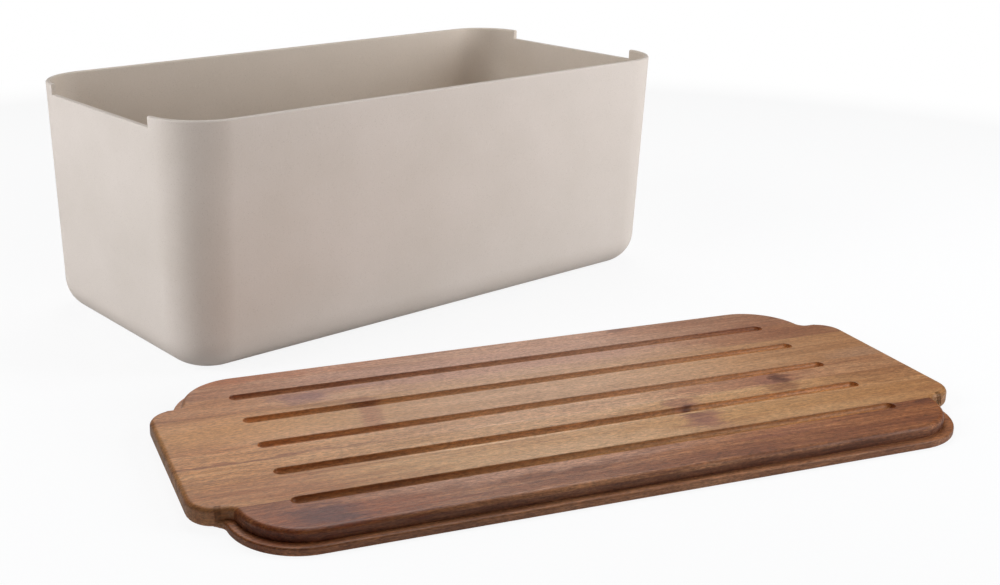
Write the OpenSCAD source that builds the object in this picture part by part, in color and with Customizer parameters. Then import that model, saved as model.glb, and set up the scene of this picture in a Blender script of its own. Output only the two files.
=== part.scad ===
// Bread bin with a board for a lid.
//
// The bin is one open-topped moulding with leaning walls, round corners and a notch in the
// rim at each end. The lid is a board glued up from wooden staves. A step cut round one face
// leaves a raised plug, which enters the mouth of the bin while the thin flange beside it
// rests on the rim. A tab at each end keeps the board's full thickness: it lies in the notch
// and sticks out as a grip. The plug's face carries grooves, so the lid is also a bread board.
//
// The bin stands on its underside at the origin, with its length along X. The lid lies beside
// it on the same surface, grooves up.

/* [Bin] */
// Length of the bin over its rim, and of the lid without its tabs
bin_l = 360; // [330:1:420]
// Width of the bin over its rim, and of the lid
bin_w = 174; // [170:1:190]
// Height of the bin
bin_h = 138; // [100:1:180]
// Radius of the rim's corners, seen from above
corner_r = 32; // [32:1:34]
// Thickness of the walls and the floor
wall_t = 3; // [2.4:0.1:3.4]
// Lean of the walls, in degrees from upright
wall_lean = 2; // [1:0.1:3]
// Radius from the walls to the underside
foot_r = 20; // [12:1:20]
// Radius on both edges of the rim
rim_r = 1; // [0.4:0.1:1.1]
// Depth of the notch in each end of the rim
notch_d = 6; // [6:0.1:12]

/* [Lid] */
// Thickness of the board
board_t = 9.5; // [8.5:0.1:9.7]
// Thickness of the flange that rests on the rim
flange_t = 3.8; // [3.8:0.1:4.4]
// Width of the step from the flange's edge to the plug
step_w = 4; // [4:0.1:5]
// Radius of the plug's corners, seen from above
plug_r = 30; // [28:1:30]
// Reach of each tab past the bin
tab_reach = 14; // [12:1:22]
// Clearance between a tab and each side of its notch
tab_gap = 2; // [1:0.5:4]
// Radius of the tabs' corners, seen from above
tab_r = 13; // [8:1:16]
// Radius of the inner corner between a tab and the plug or the flange
crook_r = 4; // [2:0.5:4]

/* [Edges of the lid] */
// Round on the edges of the grooved face
plug_edge_r = 2.5; // [1:0.1:3]
// Round on both edges of the flange
flange_edge_r = 1; // [0.4:0.1:1.5]
// Round on the tabs' edges away from the grooved face
grip_edge_r = 4; // [2:0.1:4.5]

/* [Grooves] */
// Number of grooves
groove_count = 5; // [1:2:5]
// Distance between the grooves
groove_pitch = 28.2; // [26:0.1:29]
// Length of a groove from end to end
groove_l = 304.6; // [200:0.1:310]
// Width of a groove, twice its depth
groove_w = 6.5; // [4:0.1:7]

/* [Place of the lid] */
// Middle of the lid, along the bin's length
lid_x = -55; // [-70:1:-40]
// Middle of the lid, in front of the bin
lid_y = -230; // [-280:1:-230]
// Turn of the lid about the upright, in degrees
lid_turn = -18.9; // [-19:0.1:-10]

/* [Hidden] */
$fn = 96;
slack = 1; // how far a cutting shape runs past what it cuts

// Widths of the staves from back to front, as parts of the board's width
stave_parts = [29.5, 20.5, 34.5, 18, 18, 21.5, 32];
stave_colors = ["#a87c66", "#ad8064", "#b58a63", "#a97a58", "#b0845a", "#a87a52", "#7d4f38"];

bin_color = "#cfc2b8";
notch_w = bin_w - 2 * corner_r;       // the straight stretch of the end wall
tab_w = notch_w - 2 * tab_gap;
plug_l = bin_l - 2 * step_w;
plug_w = bin_w - 2 * step_w;
lid_l = bin_l + 2 * tab_reach;
heel_r = 0.5;                         // round on the plug's edge inside the flange

function sum_to(list, n) = n == 0 ? 0 : list[n - 1] + sum_to(list, n - 1);
parts_total = sum_to(stave_parts, len(stave_parts));
function joint_y(n) = bin_w * (0.5 - sum_to(stave_parts, n) / parts_total);

// ---- Plan shapes ---------------------------------------------------------------------

// Carries a half section round a rounded rectangle. The section's X = 0 runs along the
// lines that join the corners' axes, and a block of thickness core_t fills what they enclose.
module carry_round(l, w, r, core_t) {
    dx = l / 2 - r;
    dy = w / 2 - r;
    translate([-dx, -dy, 0]) cube([2 * dx, 2 * dy, core_t]);
    for (half = [0, 180]) rotate([0, 0, half]) {
        translate([dx, dy, 0]) rotate([90, 0, 0]) linear_extrude(2 * dy) children();
        translate([-dx, dy, 0]) rotate([90, 0, 90]) linear_extrude(2 * dx) children();
        translate([dx, dy, 0]) rotate_extrude(angle = 90) children();
        translate([-dx, dy, 0]) rotate([0, 0, 90]) rotate_extrude(angle = 90) children();
    }
}

// What a round of radius r takes off the corner of a square that points up and right
module round_waste(r) {
    difference() {
        square(r + slack);
        circle(r);
    }
}

// ---- Bin -----------------------------------------------------------------------------

// Distance from a corner's axis to the outer face of the wall, at height z
function wall_u(z) = corner_r - (bin_h - z) * tan(wall_lean);
foot_u = wall_u(foot_r) - foot_r / cos(wall_lean);

// Half section of the space that lies inset from the bin's outer face, up to height top
module bin_space(inset, top) {
    r = foot_r - inset;
    meet = [foot_u + r * cos(wall_lean), foot_r - r * sin(wall_lean)];
    brow = [meet.x + (top - meet.y) * tan(wall_lean), top];
    polygon([[0, inset], [foot_u, inset], [foot_u, foot_r], meet, brow, [0, top]]);
    intersection() {
        translate([foot_u, foot_r]) circle(r);
        translate([foot_u, 0]) square(foot_r);
    }
}

// Half section of the wall and floor, with a rounded rim
module bin_section() {
    rim_z = bin_h - rim_r;
    outer_u = wall_u(rim_z) - rim_r / cos(wall_lean);
    inner_u = wall_u(rim_z) - (wall_t - rim_r) / cos(wall_lean);
    difference() {
        bin_space(0, rim_z);
        bin_space(wall_t, rim_z + slack);
    }
    translate([inner_u, rim_z - rim_r]) square([outer_u - inner_u, 2 * rim_r]);
    for (u = [inner_u, outer_u]) translate([u, rim_z]) circle(rim_r);
}

module rim_notch() {
    translate([bin_l / 2 - corner_r, -notch_w / 2, bin_h - notch_d])
        cube([corner_r + slack, notch_w, notch_d + slack]);
}

module bin() {
    color(bin_color) difference() {
        carry_round(bin_l, bin_w, corner_r, wall_t) bin_section();
        for (end = [0, 180]) rotate([0, 0, end]) rim_notch();
    }
}

// ---- Lid -----------------------------------------------------------------------------

// A rounded plate of thickness t with its upper and lower edges rounded
module eased_plate(l, w, r, t, upper_r, lower_r) {
    carry_round(l, w, r, t) difference() {
        square([r, t]);
        translate([r - upper_r, t - upper_r]) round_waste(upper_r);
        translate([r - lower_r, lower_r]) mirror([0, 1]) round_waste(lower_r);
    }
}

// The inner corner between a tab's side and a plate of size l by w with corners of radius r.
// Its upper edge is rounded like the plate's.
module crook(l, w, r, t, upper_r) {
    axis = [l / 2 - r, w / 2 - r];
    side = tab_w / 2;
    root = side - upper_r - slack;
    drop = side + crook_r - axis.y;
    eye = [axis.x + sqrt(pow(r + crook_r, 2) - drop * drop), side + crook_r];
    difference() {
        linear_extrude(t) polygon([axis, eye, [eye.x, root], [axis.x, root]]);
        translate([eye.x, eye.y, 0]) rotate_extrude() {
            translate([0, -slack]) square([crook_r, t + 2 * slack]);
            translate([crook_r + upper_r, t - upper_r]) mirror([1, 0]) round_waste(upper_r);
        }
    }
}

module crooks(l, w, r, t, upper_r) {
    for (sx = [0, 1], sy = [0, 1])
        mirror([sx, 0, 0]) mirror([0, sy, 0]) crook(l, w, r, t, upper_r);
}

// A groove with a half-round section and round ends
module groove() {
    reach = groove_l / 2 - groove_w / 2;
    translate([-reach, 0, 0]) rotate([0, 90, 0]) cylinder(d = groove_w, h = 2 * reach);
    for (x = [-reach, reach]) translate([x, 0, 0]) sphere(d = groove_w);
}

module board() {
    difference() {
        union() {
            eased_plate(bin_l, bin_w, corner_r, flange_t, flange_edge_r, flange_edge_r);
            eased_plate(plug_l, plug_w, plug_r, board_t, plug_edge_r, heel_r);
            eased_plate(lid_l, tab_w, tab_r, board_t, plug_edge_r, grip_edge_r);
            crooks(bin_l, bin_w, corner_r, flange_t, flange_edge_r);
            crooks(plug_l, plug_w, plug_r, board_t, plug_edge_r);
        }
        for (i = [0 : groove_count - 1])
            translate([0, (i - (groove_count - 1) / 2) * groove_pitch, board_t]) groove();
    }
}

// Stave number n of the board, counted from the back, where the lid lies
module stave(n) {
    far = n == 0 ? bin_w : joint_y(n);
    near = n == len(stave_parts) - 1 ? -bin_w : joint_y(n + 1);
    color(stave_colors[n]) translate([lid_x, lid_y, 0]) rotate([0, 0, lid_turn])
        intersection() {
            board();
            translate([-lid_l, near, -slack]) cube([2 * lid_l, far - near, board_t + 2 * slack]);
        }
}

bin();
for (n = [0 : len(stave_parts) - 1])
    stave(n);
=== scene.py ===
"""Looks of a bread bin and of the wooden board that is its lid.

The bin is one lofted shell with eased edges. The board is lofted once, with its grooves,
and sliced into its glued staves, each with its own cut of wood. Sizes are in metres, in
the frame's axes; the board is built about its own middle and set in place as a whole.
"""
import math

import bmesh
import bpy
from mathutils import Matrix, Vector


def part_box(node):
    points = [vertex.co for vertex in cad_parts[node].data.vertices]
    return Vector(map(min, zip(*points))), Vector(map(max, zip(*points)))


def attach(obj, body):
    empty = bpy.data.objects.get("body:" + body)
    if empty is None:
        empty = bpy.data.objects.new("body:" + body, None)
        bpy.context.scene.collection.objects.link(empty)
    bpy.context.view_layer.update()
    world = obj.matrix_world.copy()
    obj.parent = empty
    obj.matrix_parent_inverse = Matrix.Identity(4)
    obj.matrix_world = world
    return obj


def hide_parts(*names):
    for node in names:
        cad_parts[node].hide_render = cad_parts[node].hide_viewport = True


MM = 0.001

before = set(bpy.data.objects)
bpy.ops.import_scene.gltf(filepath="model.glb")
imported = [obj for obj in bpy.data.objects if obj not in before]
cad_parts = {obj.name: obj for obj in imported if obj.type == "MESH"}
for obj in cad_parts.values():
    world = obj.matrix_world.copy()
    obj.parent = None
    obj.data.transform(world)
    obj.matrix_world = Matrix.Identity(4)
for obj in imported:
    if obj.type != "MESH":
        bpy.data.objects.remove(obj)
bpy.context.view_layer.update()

# ---- Sizes ---------------------------------------------------------------------------

BIN_L = 360 * MM
BIN_W = 174 * MM
BIN_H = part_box("bin")[1].z
CORNER_R = 32 * MM
WALL_T = 3 * MM
WALL_LEAN = math.radians(2)
FOOT_R = 20 * MM
RIM_R = 1 * MM
NOTCH_D = 6 * MM
NOTCH_EASE = 0.4 * MM

BOARD_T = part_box("stave_4")[1].z
FLANGE_T = 3.8 * MM
STEP_W = 4 * MM
PLUG_R = 30 * MM
TAB_REACH = 14 * MM
TAB_W = 106 * MM
TAB_R = 13 * MM
CROOK_R = 4 * MM
PLUG_EDGE_R = 2.5 * MM
FLANGE_EDGE_R = 1 * MM

GROOVE_COUNT = 5
GROOVE_PITCH = 28.2 * MM
GROOVE_L = 304.6 * MM
GROOVE_W = 6.5 * MM
GROOVE_EASE = 0.35 * MM

LID_PLACE = (-55 * MM, -230 * MM, 0)
LID_TURN = math.radians(-18.9)
LID_MATRIX = Matrix.Translation(LID_PLACE) @ Matrix.Rotation(LID_TURN, 4, "Z")

WELD = 0.001 * MM                   # points closer than this are one
CUT_SNAP = 0.01 * MM                # points closer than this to a cut lie on it
SHARP_ANGLE = math.radians(40)      # edges that bend more are shaded as sharp
NOTCH_ANGLE = math.radians(45)      # only the notches' edges bend more than this


# ---- Mesh helpers --------------------------------------------------------------------

def arc(cx, cy, r, start, end, count):
    """Points along an arc, both ends included, with the angles in degrees."""
    angles = [math.radians(start + (end - start) * i / count) for i in range(count + 1)]
    return [(cx + r * math.cos(a), cy + r * math.sin(a)) for a in angles]


def quarter_turn(steps):
    """Angles from 0 to a right angle, both included, in radians."""
    return [math.radians(90 * i / steps) for i in range(steps + 1)]


def blend(a, b, t):
    return a + (b - a) * t


def skin(bm, rings):
    """Faces between each ring of points and the one before. The last meets the first."""
    for i, ring in enumerate(rings):
        before = rings[i - 1]
        for j in range(len(ring) - 1):
            bm.faces.new((before[j], ring[j], ring[j + 1], before[j + 1]))


def merge(bm):
    """Joins points that coincide and drops the ones that no face uses."""
    unused = [v for v in bm.verts if not v.link_faces]
    bmesh.ops.delete(bm, geom=unused, context="VERTS")
    bmesh.ops.remove_doubles(bm, verts=bm.verts, dist=WELD)
    bmesh.ops.recalc_face_normals(bm, faces=bm.faces)


def finish_mesh(bm, name, material):
    """An object from bm, smooth, with the flat faces kept flat by weighted normals."""
    for face in bm.faces:
        face.smooth = True
    mesh = bpy.data.meshes.new(name)
    bm.to_mesh(mesh)
    bm.free()
    piece = bpy.data.objects.new(name, mesh)
    bpy.context.scene.collection.objects.link(piece)
    mesh.set_sharp_from_angle(angle=SHARP_ANGLE)
    normals = piece.modifiers.new("normals", "WEIGHTED_NORMAL")
    normals.keep_sharp = True
    normals.weight = 80
    mesh.materials.append(material)
    return piece


# ---- Bin -----------------------------------------------------------------------------

def bin_section():
    """The shell's half section as (u, z), from the middle of the underside up, over the
    rim and down to the middle of the floor, and the two points level with the notch."""
    lean = math.degrees(WALL_LEAN)
    foot_steps, wall_steps, notch_steps, rim_steps = 16, 8, 2, 6

    def wall_u(z):
        return CORNER_R - (BIN_H - z) * math.tan(WALL_LEAN)

    def wall(z_from, z_to, inset, steps):
        heights = [blend(z_from, z_to, i / steps) for i in range(steps + 1)]
        return [(wall_u(z) - inset / math.cos(WALL_LEAN), z) for z in heights]

    foot_u = wall_u(FOOT_R) - FOOT_R / math.cos(WALL_LEAN)
    foot_top = FOOT_R * (1 - math.sin(WALL_LEAN))
    rim_z = BIN_H - RIM_R
    notch_z = BIN_H - NOTCH_D
    outer_u = wall_u(rim_z) - RIM_R / math.cos(WALL_LEAN)
    inner_u = wall_u(rim_z) - (WALL_T - RIM_R) / math.cos(WALL_LEAN)
    outer = [(0, 0)] + arc(foot_u, FOOT_R, FOOT_R, -90, -lean, foot_steps)
    outer += wall(foot_top, notch_z, 0, wall_steps)[1:]
    rim = wall(notch_z, rim_z, 0, notch_steps)[1:-1]
    rim += arc(outer_u, rim_z, RIM_R, -lean, 90, rim_steps)
    rim += arc(inner_u, rim_z, RIM_R, 90, 180 - lean, rim_steps)
    rim += wall(rim_z, notch_z, WALL_T, notch_steps)[1:-1]
    inner = wall(notch_z, foot_top, WALL_T, wall_steps)[:-1]
    inner += arc(foot_u, FOOT_R, FOOT_R - WALL_T, -lean, -90, foot_steps) + [(0, WALL_T)]
    return outer + rim + inner, len(outer) - 1, len(outer) + len(rim)


def bin_stations(per_end, per_side, per_corner):
    """Places round the bin as (x, y, outward x, outward y, on an end wall?)."""
    dx, dy = BIN_L / 2 - CORNER_R, BIN_W / 2 - CORNER_R
    stations = []
    for turn in (0, 180):
        spin = Matrix.Rotation(math.radians(turn), 2)
        half = [(dx, blend(-dy, dy, i / per_end), 0, True) for i in range(per_end)]
        half += [(dx, dy, 90 * i / per_corner, False) for i in range(per_corner)]
        half += [(blend(dx, -dx, i / per_side), dy, 90, False) for i in range(per_side)]
        half += [(-dx, dy, 90 + 90 * i / per_corner, False) for i in range(per_corner)]
        for x, y, angle, on_end in half:
            place = spin @ Vector((x, y))
            out = spin @ Vector((math.cos(math.radians(angle)), math.sin(math.radians(angle))))
            stations.append((place.x, place.y, out.x, out.y, on_end))
    return stations


def flat_grid(bm, half_x, half_y, z, count_x, count_y):
    """A level grid of faces, to close the shell's underside or floor."""
    rows = [[bm.verts.new((blend(-half_x, half_x, i / count_x),
                           blend(-half_y, half_y, j / count_y), z))
             for i in range(count_x + 1)] for j in range(count_y + 1)]
    for low, high in zip(rows, rows[1:]):
        for i in range(count_x):
            bm.faces.new((low[i], low[i + 1], high[i + 1], high[i]))


def bin_shell(material):
    """The whole bin. On its end walls the rim is left out, which makes the notches, and
    their floors and sides are closed."""
    per_end, per_side, per_corner = 16, 32, 24
    section, outer_cut, inner_cut = bin_section()
    stations = bin_stations(per_end, per_side, per_corner)
    bm = bmesh.new()
    rings = [[bm.verts.new((x + nx * u, y + ny * u, z)) for u, z in section]
             for x, y, nx, ny, _ in stations]
    for i, ring in enumerate(rings):
        after = rings[(i + 1) % len(rings)]
        before_on_end, on_end = stations[i - 1][-1], stations[i][-1]
        for j in range(len(section) - 1):
            if not (on_end and outer_cut <= j < inner_cut):
                bm.faces.new((ring[j], after[j], after[j + 1], ring[j + 1]))
        if on_end:
            bm.faces.new((ring[outer_cut], after[outer_cut], after[inner_cut], ring[inner_cut]))
        if on_end != before_on_end:
            bm.faces.new(ring[outer_cut:inner_cut + 1])
    dx, dy = BIN_L / 2 - CORNER_R, BIN_W / 2 - CORNER_R
    flat_grid(bm, dx, dy, 0, per_side, per_end)
    flat_grid(bm, dx, dy, WALL_T, per_side, per_end)
    merge(bm)
    sharp = [e for e in bm.edges if e.calc_face_angle(0) > NOTCH_ANGLE]
    bmesh.ops.bevel(bm, geom=sharp, offset=NOTCH_EASE, segments=3, profile=0.5,
                    affect="EDGES", clamp_overlap=True)
    return finish_mesh(bm, "bin_shell", material)


# ---- Board ---------------------------------------------------------------------------

FLANGE_PLAN = (BIN_L, BIN_W, CORNER_R)
PLUG_PLAN = (BIN_L - 2 * STEP_W, BIN_W - 2 * STEP_W, PLUG_R)

# Steps round a quarter of the board, from the middle of the tab's end
TAB_END_STEPS = 10
TAB_CORNER_STEPS = 16
TAB_SIDE_STEPS = 2
CROOK_STEPS = 16
CORNER_STEPS = 22
SIDE_STEPS = 16


def plan_axes(length, width, corner_r):
    """The axis of a plate's corner, and that of the crook between the plate and its tab."""
    axis = Vector((length / 2 - corner_r, width / 2 - corner_r))
    side = TAB_W / 2 + CROOK_R
    run = math.sqrt((corner_r + CROOK_R) ** 2 - (side - axis.y) ** 2)
    return axis, Vector((axis.x + run, side))


def outline_quarter(plan, part_x, side_count):
    """A quarter of a plate's outline with its tab, as (place, outward) pairs from the
    middle of the tab's end to the middle of the long side. From part_x on, side_count
    steps run on along the tab's side, and the rest of CROOK_STEPS round the crook."""
    width, corner_r = plan[1:]
    axis, eye = plan_axes(*plan)
    reach = math.degrees(math.atan2(eye.y - axis.y, eye.x - axis.x))
    tab_end = BIN_L / 2 + TAB_REACH
    points = []

    def straight(start, end, out, count):
        start, end = Vector(start), Vector(end)
        points.extend((start.lerp(end, i / count), Vector(out)) for i in range(count))

    def curve(centre, r, start, end, count):
        for i in range(count):
            a = math.radians(blend(start, end, i / count))
            out = Vector((math.cos(a), math.sin(a)))
            points.append((Vector(centre) + out * r, out))

    straight((tab_end, 0), (tab_end, TAB_W / 2 - TAB_R), (1, 0), TAB_END_STEPS)
    curve((tab_end - TAB_R, TAB_W / 2 - TAB_R), TAB_R, 0, 90, TAB_CORNER_STEPS)
    straight((tab_end - TAB_R, TAB_W / 2), (part_x, TAB_W / 2), (0, 1), TAB_SIDE_STEPS)
    straight((part_x, TAB_W / 2), (eye.x, TAB_W / 2), (0, 1), side_count)
    curve(eye, -CROOK_R, 90, reach, CROOK_STEPS - side_count)
    curve(axis, corner_r, reach, 90, CORNER_STEPS)
    straight((axis.x, width / 2), (0, width / 2), (0, 1), SIDE_STEPS)
    points.append((Vector((0, width / 2)), Vector((0, 1))))
    return points


def round_the_board(quarter):
    """All four quarters of an outline, in order, from one."""
    flip_x = [(Vector((-p.x, p.y)), Vector((-n.x, n.y))) for p, n in reversed(quarter)]
    half = quarter[:-1] + flip_x
    return half[:-1] + [(-p, -n) for p, n in half[:-1]]


def board_stations():
    """Places round the board: where the flange's edge is, where the plug's side is, each
    with its outward direction, and the rounds on the flange's lower and upper edge there.
    Along the tabs, where the two are one, the upper round shrinks to nothing."""
    part_x = plan_axes(*FLANGE_PLAN)[1].x
    edge = round_the_board(outline_quarter(FLANGE_PLAN, part_x, 0))
    side = round_the_board(outline_quarter(PLUG_PLAN, part_x, 4))
    stations = []
    for (f, fn), (u, un) in zip(edge, side):
        gap = (f - u).length
        ledge = min(1, gap / STEP_W)
        lower = blend(FLANGE_T, FLANGE_EDGE_R, ledge)
        upper = min(FLANGE_EDGE_R, 0.4 * gap)
        stations.append((f, fn, u, un, lower, upper))
    return stations


def board_section(f, fn, u, un, lower, upper):
    """The points of one station, from the board's underside, round the flange's edge and
    up the plug's side to its face."""
    top = BOARD_T - PLUG_EDGE_R
    rows = [(f, fn, lower * (1 - math.sin(t)), lower * (1 - math.cos(t)))
            for t in quarter_turn(6)]
    rows += [(f, fn, upper * (1 - math.cos(t)), FLANGE_T - upper + upper * math.sin(t))
             for t in quarter_turn(4)]
    rows += [(u, un, 0, FLANGE_T), (u, un, 0, blend(FLANGE_T, top, 0.5))]
    rows += [(u, un, PLUG_EDGE_R * (1 - math.cos(t)), top + PLUG_EDGE_R * math.sin(t))
             for t in quarter_turn(8)]
    return [(*(p - n * inset), z) for p, n, inset, z in rows]


def groove(bm, y):
    """One groove's surface, from its eased rim down. Gives back its outermost loop."""
    run_steps, end_steps = 48, 16
    reach, r = GROOVE_L / 2 - GROOVE_W / 2, GROOVE_W / 2
    section = arc(r + GROOVE_EASE, BOARD_T - GROOVE_EASE, GROOVE_EASE, 90, 180, 3)
    section += arc(0, BOARD_T, r, -math.degrees(GROOVE_EASE / r), -90, 9)
    stations = []
    for end in (reach, -reach):
        turn = 90 if end > 0 else -90
        stations += [(blend(-end, end, i / run_steps), turn) for i in range(run_steps)]
        stations += [(end, turn - 180 * i / end_steps) for i in range(end_steps)]
    rings = [[bm.verts.new((x + math.cos(math.radians(a)) * u,
                            y + math.sin(math.radians(a)) * u, z))
              for u, z in section] for x, a in stations]
    skin(bm, rings)
    return [ring[0] for ring in rings]


def board():
    """The whole board about its own middle, as one closed mesh."""
    bm = bmesh.new()
    rings = [[bm.verts.new(point) for point in board_section(*station)]
             for station in board_stations()]
    skin(bm, rings)
    bm.faces.new([ring[0] for ring in reversed(rings)])
    loops = [[ring[-1] for ring in rings]]
    for i in range(GROOVE_COUNT):
        loops.append(groove(bm, (i - (GROOVE_COUNT - 1) / 2) * GROOVE_PITCH))
    edges = [bm.edges.get((loop[i - 1], loop[i])) for loop in loops for i in range(len(loop))]
    bmesh.ops.triangle_fill(bm, use_beauty=True, edges=edges)
    merge(bm)
    return bm


def slice_stave(whole, near, far):
    """The part of the board between two upright planes, closed where it is cut."""
    bm = whole.copy()
    for y, direction in ((near, -1), (far, 1)):
        if y is None:
            continue
        bmesh.ops.bisect_plane(bm, geom=bm.verts[:] + bm.edges[:] + bm.faces[:],
                               dist=CUT_SNAP, plane_co=(0, y, 0),
                               plane_no=(0, direction, 0), clear_outer=True)
        open_edges = [e for e in bm.edges if e.is_boundary]
        bmesh.ops.holes_fill(bm, edges=open_edges, sides=0)
    bmesh.ops.recalc_face_normals(bm, faces=bm.faces)
    return bm


def staves():
    """The board's staves from back to front, each an object with its own wood."""
    whole = board()
    pieces = []
    for i, stave in enumerate(STAVES):
        far = None if i == 0 else joint_y(i)
        near = None if i == len(STAVES) - 1 else joint_y(i + 1)
        part = slice_stave(whole, near, far)
        bmesh.ops.transform(part, matrix=LID_MATRIX, verts=part.verts)
        pieces.append(finish_mesh(part, "board_" + stave.node, acacia(i)))
    whole.free()
    return pieces


# ---- Materials -----------------------------------------------------------------------

def tone(red, green, blue):
    """A colour from its 0 to 255 values as a screen shows them."""
    def linear(value):
        value /= 255
        return value / 12.92 if value <= 0.04045 else ((value + 0.055) / 1.055) ** 2.4
    return (linear(red), linear(green), linear(blue), 1)


class Graph:
    """Makes a material's nodes. What goes into a node may be a number or a socket."""

    def __init__(self, name):
        self.material = bpy.data.materials.new(name)
        self.material.use_nodes = True
        self.tree = self.material.node_tree
        self.shader = self.tree.nodes["Principled BSDF"]

    def put(self, socket, value):
        if isinstance(value, bpy.types.NodeSocket):
            self.tree.links.new(value, socket)
        else:
            socket.default_value = value

    def node(self, kind, inputs=(), **settings):
        node = self.tree.nodes.new("ShaderNode" + kind)
        for name, value in settings.items():
            setattr(node, name, value)
        for key, value in dict(inputs).items():
            self.put(node.inputs[key], value)
        return node

    def surface(self, colour, roughness, relief, depth):
        """Gives the shader its colour and roughness, and a relief that is depth high."""
        self.put(self.shader.inputs["Base Color"], colour)
        self.put(self.shader.inputs["Roughness"], roughness)
        bump = self.node("Bump", {"Height": relief, "Distance": depth, "Strength": 1})
        self.put(self.shader.inputs["Normal"], bump.outputs[0])

    def math(self, operation, *values):
        inputs = dict(enumerate(values))
        return self.node("Math", inputs, operation=operation).outputs[0]

    def product(self, first, *others):
        for other in others:
            first = self.math("MULTIPLY", first, other)
        return first

    def scaled(self, vector, *factors):
        inputs = {0: vector, 1: factors}
        return self.node("VectorMath", inputs, operation="MULTIPLY").outputs[0]

    def moved(self, vector, *offset):
        inputs = {0: vector, 1: offset}
        return self.node("VectorMath", inputs, operation="ADD").outputs[0]

    def split(self, vector):
        return self.node("SeparateXYZ", {0: vector}).outputs[:]

    def joined(self, x, y, z=0):
        return self.node("CombineXYZ", {0: x, 1: y, 2: z}).outputs[0]

    def noise(self, vector, detail=2, roughness=0.5, distortion=0):
        inputs = {"Vector": vector, "Scale": 1, "Detail": detail, "Roughness": roughness,
                  "Distortion": distortion}
        return self.node("TexNoise", inputs).outputs[0]

    def fade(self, value, start, end, low=0, high=1):
        """Goes smoothly from low to high as value goes from start to end."""
        inputs = {"Value": value, "From Min": start, "From Max": end, "To Min": low,
                  "To Max": high}
        return self.node("MapRange", inputs, interpolation_type="SMOOTHSTEP").outputs[0]

    def mix(self, share, a, b, how="MIX"):
        inputs = {0: share, 6: a, 7: b}
        return self.node("Mix", inputs, data_type="RGBA", blend_type=how).outputs[2]

    def tint(self, share, colour, *factors):
        """Multiplies red, green and blue by the factors, as far as share says."""
        return self.mix(share, colour, (*factors, 1), "MULTIPLY")

    def ramp(self, value, *stops):
        node = self.node("ValToRGB", {0: value})
        elements = node.color_ramp.elements
        while len(elements) < len(stops):
            elements.new(0.5)
        for element, (place, colour) in zip(elements, stops):
            element.position = place
            element.color = colour
        return node.outputs[0]


class Stave:
    """One stave: its node, the record's slot for its wood, which nothing here reads, its width,
    its wood's colours from dark to light, how strongly they differ, where the heart of its
    tree lies as (place across the board, height), its marks and its knots. A mark is a
    colour, the place of its middle, its reach along and across the board, and its strength.
    A knot is a place and a reach; the grain runs round it. Places and reaches are in
    millimetres, from the board's middle and its underside."""

    def __init__(self, node, slot, width, colours, contrast, heart, marks=(), knots=()):
        self.node = node
        self.slot = slot
        self.width = width
        self.colours = [tone(*colour) for colour in colours]
        self.contrast = contrast
        self.heart = heart
        self.marks = marks
        self.knots = knots


RED = tone(166, 108, 80)
BROWN = tone(146, 94, 66)
DARK = tone(112, 66, 46)
PURPLE = tone(152, 110, 104)
SHADE = tone(156, 102, 84)
PINK = tone(188, 142, 122)
PALE = tone(208, 174, 150)
GOLD = tone(194, 143, 90)
HONEY = tone(216, 170, 122)

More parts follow.
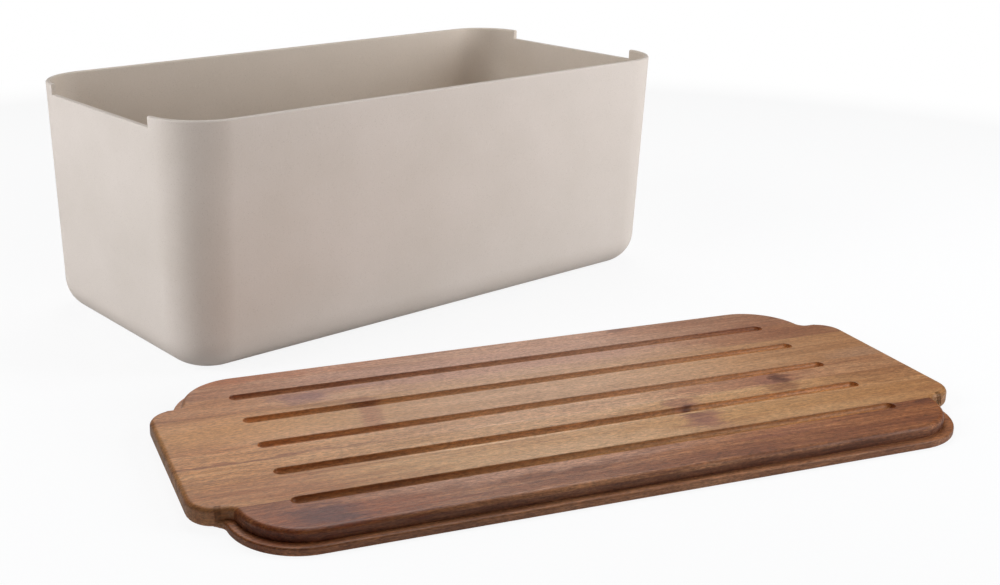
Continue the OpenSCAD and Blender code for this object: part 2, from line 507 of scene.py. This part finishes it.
STAVES = [
    Stave("stave_1_back", "acacia_pink", 29.5 * MM,
          [(150, 103, 79), (184, 140, 113), (206, 164, 139)], 1, (95, -30),
          [(tone(178, 116, 82), (-130, 77), (80, 6), 0.8), (PINK, (-40, 65), (110, 6), 0.6),
           (RED, (60, 74), (70, 6), 0.35), (RED, (152, 62), (30, 12), 0.4),
           (BROWN, (-170, 62), (18, 5), 0.5), (DARK, (74, 80), (8, 4), 0.7)]),
    Stave("stave_2", "acacia_pink", 20.5 * MM,
          [(158, 110, 79), (191, 144, 109), (211, 168, 135)], 1, (20, -44),
          [(PINK, (0, 51), (130, 8), 0.8), (PURPLE, (-119, 46), (15, 8), 1),
           (PURPLE, (-90, 51), (30, 3), 0.5), (RED, (140, 47), (44, 13), 0.5),
           (BROWN, (168, 44), (30, 8), 0.3)]),
    Stave("stave_3", "acacia_tan", 34.5 * MM,
          [(166, 120, 80), (200, 152, 110), (222, 178, 138)], 0.9, (-12, -60),
          [(HONEY, (-155, 19), (60, 13), 0.8), (RED, (-92, 16), (7, 22), 0.7),
           (BROWN, (-94, 31), (7, 6), 0.7), (PALE, (182, 7), (24, 8), 0.5)]),
    Stave("stave_4", "acacia_tan", 18 * MM,
          [(174, 124, 86), (210, 161, 120), (231, 189, 150)], 1.1, (-30, -35),
          [(HONEY, (-140, -8), (50, 8), 0.4), (RED, (100, -8), (56, 9), 0.7),
           (BROWN, (-160, -13.8), (60, 1.4), 0.7), (SHADE, (114, -9), (11, 6), 0.6),
           (DARK, (118.5, -10), (3.5, 7), 1), (BROWN, (182, -8), (26, 9), 0.3)],
          [((118, -11), (11, 6))]),
    Stave("stave_5", "acacia_tan", 18 * MM,
          [(169, 119, 74), (208, 159, 114), (232, 189, 144)], 1.1, (10, -50),
          [(GOLD, (100, -24), (90, 12), 0.5), (SHADE, (54, -21), (9, 8), 0.7),
           (DARK, (57, -27), (5, 5), 1), (BROWN, (113, -20), (14, 5), 0.8),
           (BROWN, (172, -21), (30, 8), 0.3), (BROWN, (-176, -29), (40, 2), 0.4)],
          [((56, -26), (15, 6))]),
    Stave("stave_6", "acacia_tan", 21.5 * MM,
          [(166, 110, 69), (200, 151, 103), (221, 176, 128)], 0.9, (-80, -28),
          [(GOLD, (110, -42), (70, 10), 0.6), (HONEY, (135, -49), (60, 5), 0.6),
           (SHADE, (55, -39), (11, 12), 0.9), (DARK, (54, -34), (5, 4), 0.6),
           (RED, (-172, -44), (56, 14), 0.5), (tone(226, 184, 142), (-5, -49), (60, 6), 0.6)],
          [((55, -40), (16, 8))]),
    Stave("stave_7_front", "acacia_brown", 32 * MM,
          [(115, 64, 38), (161, 103, 65), (196, 137, 95)], 1.2, (-40, -22),
          [(tone(128, 74, 46), (0, -76), (190, 6), 0.7), (BROWN, (-128, -66), (50, 10), 0.4),
           (tone(200, 150, 122), (-45, -63), (90, 5), 0.8), (DARK, (171, -57), (8, 3), 0.7),
           (tone(150, 92, 72), (84, -65), (30, 4), 0.4),
           (tone(150, 92, 64), (-156, -65), (18, 8), 0.6),
           (tone(152, 76, 26), (-134, -74), (48, 9), 0.75),
           (tone(98, 56, 54), (-141, -72), (17, 9), 0.9)]),
]


def joint_y(n):
    """How far behind the board's middle stave n starts, counted from the back."""
    return BIN_W / 2 - sum(stave.width for stave in STAVES[:n])


def composite():
    """Matt plant-fibre composite: warm pale taupe with a very fine fleck and pale fibres,
    and a little warmer on the inside of the walls, which is painted warm bounce light."""
    g = Graph("bin_composite")
    place = g.node("TexCoord").outputs["Object"]
    in_mm = g.scaled(place, 1 / MM, 1 / MM, 1 / MM)
    cloud = g.noise(g.scaled(in_mm, 1 / 45, 1 / 45, 1 / 45), 3, 0.55)
    grain = g.noise(g.scaled(in_mm, 1.6, 1.6, 1.6), 3, 0.7)
    fibre = g.noise(g.scaled(in_mm, 2.6, 2.6, 0.35), 2, 0.6, 0.8)
    colour = g.ramp(cloud, (0.3, tone(203, 191, 179)), (0.7, tone(209, 197, 186)))
    colour = g.mix(g.fade(grain, 0.56, 0.7, 0, 0.4), colour, tone(166, 152, 138))
    colour = g.mix(g.fade(fibre, 0.6, 0.75, 0, 0.3), colour, tone(226, 219, 212))
    # Below zero where the surface faces the bin's upright axis
    outward = g.node("VectorMath", {0: g.scaled(place, 1, 1, 0),
                                    1: g.node("TexCoord").outputs["Normal"]},
                     operation="DOT_PRODUCT").outputs["Value"]
    # Painted warm bounce light: the faces towards the inside are tinted warmer
    colour = g.tint(g.fade(outward, 0, -0.02), colour, 1, 0.975, 0.92)
    relief = g.math("ADD", grain, g.math("MULTIPLY", cloud, 2))
    g.surface(colour, g.fade(cloud, 0.2, 0.8, 0.5, 0.62), relief, 0.03 * MM)
    return g.material


# Where the board's wood changes, in millimetres from its middle or up from its underside
FACE_Z = BOARD_T / MM
LEDGE_Z = FLANGE_T / MM
GROOVED_X = 155                     # the grooves end inside this
GROOVED_Y = 63                      # and lie inside this
STEP_X = 178.5                      # the plug's long sides end inside this

OWN_STEP = (613, 271, 97)           # how far apart the staves take their noise
FIBRE_STEP = 53                     # and that of their fibres, in fibre lengths
GRAIN_WANDER = 12                   # how far the grain strays across, in millimetres
KNOT_PUSH = 6                       # and how far a knot pushes it aside
MARK_STIR = (22, 11)                # how far a mark's edge strays along and across
# Painted sheen: a pale wash over the middle of the board
PAINTED_SHEEN = (PALE, (10, 22), (90, 50), 0.35)   # runs over all the staves


class Wood(Graph):
    """The nodes of one stave's wood, with places in millimetres from the board's middle
    and its underside. Each method that takes a colour gives it back changed."""

    def __init__(self, index):
        self.index = index
        self.stave = STAVES[index]
        super().__init__(self.stave.node + "_acacia")
        self.dark, self.middle, self.light = self.stave.colours
        inputs = {"Vector": self.node("TexCoord").outputs["Object"], "Location": LID_PLACE,
                  "Rotation": (0, 0, LID_TURN), "Scale": (MM, MM, MM)}
        self.place = self.node("Mapping", inputs, vector_type="TEXTURE").outputs[0]
        self.own = self.moved(self.place, *(step * index for step in OWN_STEP))
        self.along, self.across, self.up = self.split(self.place)
        self.bent = self.bend()
        self.depth = self.math("SUBTRACT", self.up, self.stave.heart[1])
        self.streaks = self.fibres(30, 1.4, 3, 0.6)
        self.pores = self.fibres(4, 0.3, 1, 0.4)

    def oval(self, x, y, middle, reach):
        """How far y is past the middle, and how far (x, y) is from it, squared. Both are
        in reaches."""
        dx = self.math("DIVIDE", self.math("SUBTRACT", x, middle[0]), reach[0])
        dy = self.math("DIVIDE", self.math("SUBTRACT", y, middle[1]), reach[1])
        return dy, self.math("ADD", self.math("POWER", dx, 2), self.math("POWER", dy, 2))

    def bend(self):
        """The place across the grain, which wanders and runs round the knots."""
        wander = self.noise(self.scaled(self.own, 1 / 130, 1 / 40, 1 / 40), 2, 0.45)
        bent = self.math("MULTIPLY_ADD", wander, GRAIN_WANDER, self.across)
        for middle, reach in self.stave.knots:
            off, squares = self.oval(self.along, self.across, middle, reach)
            near = self.math("EXPONENT", self.math("MULTIPLY", squares, -1))
            bent = self.math("SUBTRACT", bent, self.product(off, near, KNOT_PUSH))
        return bent

    def fibres(self, length, width, detail, roughness):
        """Noise drawn out along the grain."""
        place = self.joined(self.math("MULTIPLY_ADD", self.along, 1 / length,
                                      FIBRE_STEP * self.index),
                            self.math("DIVIDE", self.bent, width),
                            self.math("DIVIDE", self.depth, width))
        return self.noise(place, detail, roughness)

    def figure(self):
        """How light the wood is: rings round the tree's heart, streaks and broad washes."""
        side = self.math("SUBTRACT", self.bent, self.stave.heart[0])
        radius = self.math("SQRT", self.math("ADD", self.math("POWER", side, 2),
                                             self.math("POWER", self.depth, 2)))
        rings = self.noise(self.joined(self.math("DIVIDE", self.along, 160),
                                       self.math("DIVIDE", radius, 4.5)), 3, 0.6)
        wash = self.noise(self.scaled(self.own, 1 / 60, 1 / 14, 1 / 14), 2, 0.5)
        figure = self.math("ADD", self.math("MULTIPLY", rings, 0.6),
                           self.math("MULTIPLY", self.streaks, 0.4))
        figure = self.math("MULTIPLY_ADD", self.math("SUBTRACT", wash, 0.5), 0.3, figure)
        return self.math("MULTIPLY_ADD", self.math("SUBTRACT", figure, 0.5),
                         self.stave.contrast, 0.5)

    def marked(self, colour):
        """The board's wide painted sheen and the stave's own marks, with ragged edges."""
        inputs = {"Vector": self.scaled(self.own, 1 / 16, 1 / 9, 1 / 9), "Scale": 1, "Detail": 2}
        stir = self.node("TexNoise", inputs).outputs["Color"]
        inputs = {0: stir, 1: (*MARK_STIR, 0), 2: self.place}
        stirred = self.node("VectorMath", inputs, operation="MULTIPLY_ADD").outputs[0]
        x, y, _ = self.split(self.moved(stirred, -MARK_STIR[0] / 2, -MARK_STIR[1] / 2, 0))
        # The first is the painted sheen
        for mark_colour, middle, reach, strength in (PAINTED_SHEEN, *self.stave.marks):
            _, squares = self.oval(x, y, middle, reach)
            ragged = self.math("MULTIPLY_ADD", self.math("SUBTRACT", self.streaks, 0.5), 2.4,
                               squares)
            share = self.fade(ragged, 1.6, -0.2, 0, strength)
            colour = self.mix(share, colour, mark_colour)
        return colour

    def painted_end_shade(self, colour):
        """Painted shade where the light falls off: yellower towards the board's left end, and
        darker towards its right end.
        """
        colour = self.tint(self.fade(self.along, -80, -170), colour, 0.99, 0.83, 0.66)
        return self.tint(self.fade(self.along, 70, 190), colour, 0.78, 0.68, 0.58)

    def cut(self, colour):
        """The colours of the cut faces: painted shade deep in the grooves, most of all at the
        left in front and least at the right, more golden on the flange, and darker on the plug's
        long sides."""
        out_x = self.math("ABSOLUTE", self.along)
        out_y = self.math("ABSOLUTE", self.across)
        grooved = self.product(self.fade(self.up, FACE_Z - 0.2, FACE_Z - 0.8),
                               self.fade(out_y, GROOVED_Y + 1, GROOVED_Y - 1),
                               self.fade(out_x, GROOVED_X + 1, GROOVED_X - 1))
        # Painted shade in the grooves
        colour = self.tint(grooved, colour, 1, 0.88, 0.69)
        # More painted shade in the grooves at the left in front
        left_front = self.product(grooved, self.fade(self.along, 40, -140),
                                  self.fade(self.across, 20, -50))
        colour = self.tint(left_front, colour, 0.72, 0.66, 0.6)
        # Painted light in the grooves towards the right
        right = self.product(grooved, self.fade(self.along, 60, 130))
        colour = self.tint(right, colour, 1.16, 1.12, 0.95)
        flange = self.fade(self.up, LEDGE_Z + 0.2, LEDGE_Z - 0.1, 0, 0.08)
        colour = self.mix(flange, colour, HONEY)
        long_side = self.product(self.fade(self.up, LEDGE_Z + 0.05, LEDGE_Z + 0.4),
                                 self.fade(self.up, FACE_Z - 1.5, FACE_Z - 2.9),
                                 self.fade(out_x, STEP_X + 0.5, STEP_X - 0.5),
                                 self.fade(out_y, GROOVED_Y, GROOVED_Y + 2))
        return self.tint(long_side, colour, 0.62, 0.58, 0.6)

    def grained(self, colour):
        """Fine grain, fleck and dark pores."""
        fine = self.fibres(7, 0.8, 2, 0.6)
        fleck = self.noise(self.scaled(self.own, 0.42, 1.35, 1.35), 2, 0.7)
        grain = self.math("ADD", self.fade(fine, 0.25, 0.75, -0.14, 0.14),
                          self.fade(fleck, 0.2, 0.8, -0.34, 0.34))
        grain = self.math("MULTIPLY_ADD", grain, self.stave.contrast, 1)
        colour = self.mix(1, colour, grain, "MULTIPLY")
        return self.mix(self.fade(self.pores, 0.6, 0.74, 0, 0.5), colour, self.dark)

    def glued(self, colour):
        """A fine dark line at each of the stave's joints."""
        for y in (joint_y(self.index), joint_y(self.index + 1)):
            off = self.math("ABSOLUTE", self.math("SUBTRACT", self.across, y / MM))
            colour = self.mix(self.fade(off, 0.25, 0.06, 0, 0.15), colour, DARK)
        return colour


def acacia(index):
    """Oiled acacia for one stave."""
    wood = Wood(index)
    figure = wood.figure()
    colour = wood.ramp(figure, (0.3, wood.dark), (0.5, wood.middle), (0.7, wood.light))
    for change in (wood.marked, wood.painted_end_shade, wood.cut, wood.grained, wood.glued):
        colour = change(colour)
    relief = wood.math("SUBTRACT", wood.math("MULTIPLY", wood.streaks, 0.6),
                       wood.fade(wood.pores, 0.58, 0.74, 0, 1))
    wood.surface(colour, wood.fade(figure, 0.3, 0.7, 0.52, 0.4), relief, 0.06 * MM)
    return wood.material


# ---- Stage ---------------------------------------------------------------------------

# The camera looks at the bin's middle from an azimuth that is 0 in front and grows towards
# +X. Then it slides to its right and up by VIEW_SLIDE, without turning.
VIEW_AZIMUTH = math.radians(-38.899)
VIEW_ELEVATION = math.radians(16.401)
VIEW_ROLL = math.radians(0.39)
VIEW_DISTANCE = 859.94 * MM
VIEW_SLIDE = (21.99 * MM, -34.39 * MM)
SENSOR = 36                         # millimetres
PHOTO = (1000, 585)                 # the photograph's size in pixels
FOCAL_PX = 1375.36
CENTRE_PX = (400, 230)              # the pixel that the camera faces

LIGHT_AIM = (-0.02, -0.12, 0.05)
LIGHT_REACH = 1.3
WHITE = (1, 1, 1)
COOL = (0.97, 1, 1.05)

# Studio lights: name, azimuth and elevation in degrees, size in metres, power in watts and
# colour
BIN_LIGHTS = [
    ("bin_left_back", -130, 8, 0.5, 4.4, COOL),
    ("bin_left_high", -100, 30, 0.6, 9.4, COOL),
    ("bin_front", -25, 8, 0.5, 1.6, WHITE),
    ("bin_right", 45, 8, 0.5, 8.6, COOL),
    ("bin_right_high", 50, 30, 0.6, 3.4, COOL),
    ("bin_back_high", 141, 60, 0.7, 6, WHITE),
]
LID_LIGHTS = [
    ("lid_top", 0, 89, 0.8, 3.1, WHITE),
    ("lid_back_high", 141, 60, 0.8, 11.3, WHITE),
]

# The lights close by: their places, and what they face. The lid's are in the board's axes.
BIN_NEAR = Vector((420, -500, 420)) * MM
BIN_NEAR_AIM = Vector((100, -90, 120)) * MM
LID_NEAR = Vector((340, -260, 200)) * MM
LID_NEAR_AIM = Vector((60, -40, 5)) * MM

FLOOR_R = 6
FLOOR_PLACE = (0, -0.1, -0.0001)
FLOOR_SEEN = (0.9, 0.9, 0.9, 1)     # its colour to the camera
FLOOR_BOUNCE = (0.65, 0.65, 0.65, 1)    # and to everything else
FLOOR_GLOW = 0.88                   # the least share of it that is plain white
FLOOR_FADE = (0.3, 0.9)             # where that share starts to grow, and where it is whole


def direction(azimuth, elevation):
    """The way out to an azimuth, 0 in front and growing towards +X, and an elevation."""
    level = math.cos(elevation)
    return Vector((math.sin(azimuth) * level, -math.cos(azimuth) * level, math.sin(elevation)))


def camera():
    back = direction(VIEW_AZIMUTH, VIEW_ELEVATION)
    right = Vector((math.cos(VIEW_AZIMUTH), math.sin(VIEW_AZIMUTH), 0))
    up = back.cross(right)
    roll = Matrix.Rotation(VIEW_ROLL, 3, back)
    right, up = roll @ right, roll @ up
    place = (Vector((0, 0, BIN_H / 2)) + back * VIEW_DISTANCE
             + right * VIEW_SLIDE[0] + up * VIEW_SLIDE[1])
    data = bpy.data.cameras.new("camera")
    data.sensor_width = SENSOR
    data.lens = SENSOR * FOCAL_PX / PHOTO[0]
    data.shift_x = (PHOTO[0] / 2 - CENTRE_PX[0]) / PHOTO[0]
    data.shift_y = (CENTRE_PX[1] - PHOTO[1] / 2) / PHOTO[0]
    data.clip_end = 100
    cam = bpy.data.objects.new("camera", data)
    bpy.context.scene.collection.objects.link(cam)
    turn = Matrix((right, up, back)).transposed().to_4x4()
    cam.matrix_world = Matrix.Translation(place) @ turn
    bpy.context.scene.camera = cam


def area_light(name, place, aim, size, power, colour, receivers, blockers=None):
    """A square light that lights only the receivers, and that the camera doesn't see. Only
    the blockers throw shadows in it, or everything where there are none."""
    data = bpy.data.lights.new(name, "AREA")
    data.size = size
    data.energy = power
    data.color = colour
    lamp = bpy.data.objects.new(name, data)
    lamp.location = place
    lamp.rotation_euler = (Vector(aim) - Vector(place)).to_track_quat("-Z", "Y").to_euler()
    lamp.visible_camera = False
    lamp.light_linking.receiver_collection = receivers
    lamp.light_linking.blocker_collection = blockers
    bpy.context.scene.collection.objects.link(lamp)


def studio_light(name, azimuth, elevation, size, power, colour, receivers, blockers=None):
    """An area light LIGHT_REACH away from LIGHT_AIM, which it faces."""
    out = direction(math.radians(azimuth), math.radians(elevation))
    place = Vector(LIGHT_AIM) + out * LIGHT_REACH
    area_light(name, place, LIGHT_AIM, size, power, colour, receivers, blockers)


def light_group(name, pieces):
    """A collection of the pieces, for the lights that are theirs alone."""
    group = bpy.data.collections.new(name)
    for piece in pieces:
        group.objects.link(piece)
    return group


def floor_material():
    """White to the camera, which sees part of it as a plain light that the object's shadow
    still darkens. It fades to plain white far away, and throws less light back."""
    g = Graph("floor")
    seen = g.node("LightPath").outputs["Is Camera Ray"]
    g.put(g.shader.inputs["Base Color"], g.mix(seen, FLOOR_BOUNCE, FLOOR_SEEN))
    g.put(g.shader.inputs["Roughness"], 0.9)
    place = g.node("TexCoord").outputs["Object"]
    away = g.node("VectorMath", {0: place}, operation="LENGTH").outputs["Value"]
    share = g.product(seen, g.math("MAXIMUM", g.fade(away, *FLOOR_FADE), FLOOR_GLOW))
    glow = g.node("Emission", {"Color": (1, 1, 1, 1), "Strength": 1}).outputs[0]
    mixed = g.node("MixShader", {0: share, 1: g.shader.outputs[0], 2: glow}).outputs[0]
    g.put(g.tree.nodes["Material Output"].inputs["Surface"], mixed)
    return g.material


def studio_world():
    """White to the camera, and no light to the scene, which the area lights light."""
    world = bpy.data.worlds.new("world")
    bpy.context.scene.world = world
    world.use_nodes = True
    tree = world.node_tree
    seen = tree.nodes.new("ShaderNodeLightPath").outputs["Is Camera Ray"]
    background = tree.nodes["Background"]
    background.inputs["Color"].default_value = (1, 1, 1, 1)
    tree.links.new(seen, background.inputs["Strength"])


def floor_disc():
    bpy.ops.mesh.primitive_circle_add(vertices=96, radius=FLOOR_R, fill_type="NGON",
                                      location=FLOOR_PLACE)
    floor = bpy.context.object
    floor.name = "floor"
    floor.data.materials.append(floor_material())
    return floor


def stage(bin_pieces, lid_pieces):
    """The floor and the lights. The photograph lights the bin from both sides, from low in
    front and from behind, and the lid from above, from behind and from the right in front,
    so each has lights of its own."""
    floor = floor_disc()
    studio_world()
    on_bin = light_group("on_bin", [*bin_pieces, floor])
    for light in BIN_LIGHTS:
        studio_light(*light, on_bin)
    area_light("bin_right_near", BIN_NEAR, BIN_NEAR_AIM, 0.3, 1.05, COOL, on_bin)
    on_lid = light_group("on_lid", lid_pieces)
    for light in LID_LIGHTS:
        studio_light(*light, on_lid, on_lid)
    near, near_aim = LID_MATRIX @ LID_NEAR, LID_MATRIX @ LID_NEAR_AIM
    area_light("lid_right_near", near, near_aim, 0.2, 0.53, WHITE, on_lid, on_lid)


# ---- The piece -----------------------------------------------------------------------

shell = bin_shell(composite())
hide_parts("bin")
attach(shell, "bin")
board_pieces = staves()
for stave, piece in zip(STAVES, board_pieces):
    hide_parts(stave.node)
    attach(piece, "lid")
camera()
stage([shell], board_pieces)
bpy.context.scene.view_settings.view_transform = "Standard"
